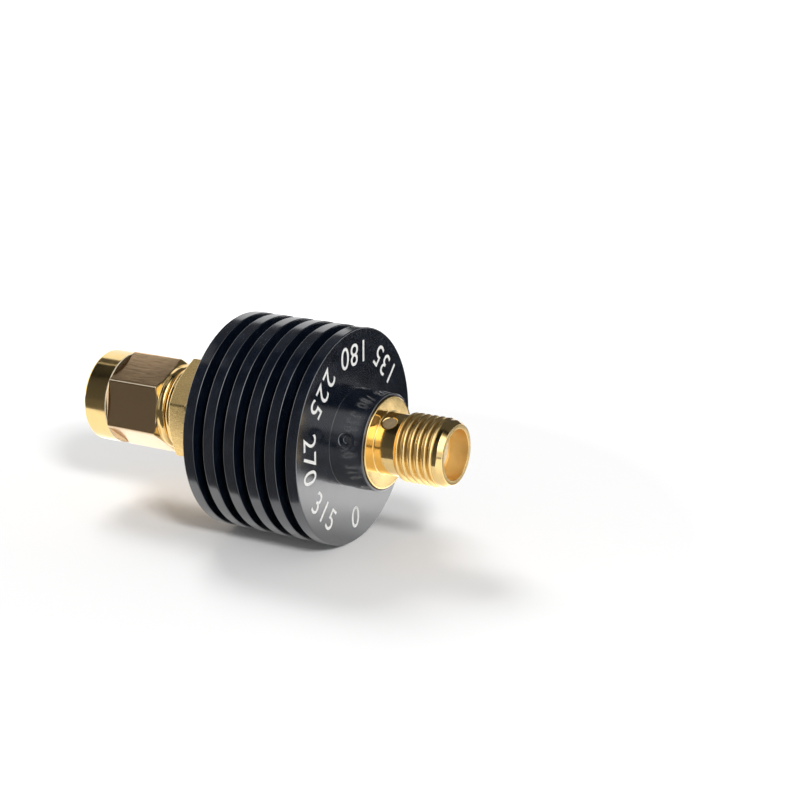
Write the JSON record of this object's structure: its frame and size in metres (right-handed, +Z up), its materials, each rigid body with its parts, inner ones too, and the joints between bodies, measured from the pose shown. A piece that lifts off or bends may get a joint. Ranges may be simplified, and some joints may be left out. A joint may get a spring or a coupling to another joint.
{
  "type": "coaxial rf attenuator",
  "caption": "Inline coaxial attenuator: finned black heat sink between a plug with a captive hexagonal coupling nut and a threaded jack.",
  "frame": {"origin": "middle of the overall length, on the common axis of the plug, heat sink and jack", "axes": "+X along the axis towards the jack's rim, +Z up with the fins lying on a surface, +Y to the back"},
  "size_m": [0.0382, 0.0202, 0.0202],
  "materials": {
    "gold_plate_nut": "gold plate over brass, turned and milled, bright",
    "gold_plate_body": "gold plate over brass, turned, bright",
    "gold_plate_contact": "gold plate over beryllium copper, polished",
    "phosphor_bronze": "drawn spring wire, satin",
    "silicone_rubber": "moulded, matte",
    "ptfe": "machined, waxy white",
    "epoxy": "cured epoxy, satin",
    "black_anodised_aluminium": "turned, black anodised, semi gloss",
    "brass": "machined, plain",
    "alumina": "fired ceramic with printed film, matte"
  },
  "bodies": {
    "housing": {"heat_sink": "black_anodised_aluminium", "male_body": "gold_plate_body", "nut_gasket": "silicone_rubber", "male_insulator": "ptfe", "male_center_pin": "gold_plate_contact", "male_epoxy": "epoxy", "female_body": "gold_plate_body", "female_insulator": "ptfe", "female_contact": "gold_plate_contact", "female_epoxy": "epoxy", "attenuator_chip": "alumina", "input_chip_contact": "gold_plate_contact", "output_chip_contact": "gold_plate_contact", "chip_carrier_upper": "brass", "chip_carrier_lower": "brass"},
    "ring": {"nut_retaining_ring": "phosphor_bronze"},
    "nut": {"coupling_nut": "gold_plate_nut"}
  },
  "joints": [
    {"name": "nut_float", "type": "slide", "parent": "housing", "child": "ring", "axis": [1, 0, 0], "range_m": [-0.00015, 0.00015]},
    {"name": "nut_spin", "type": "hinge", "parent": "ring", "child": "nut", "pos_m": [0, 0, 0], "axis": [1, 0, 0], "continuous": true}
  ]
}
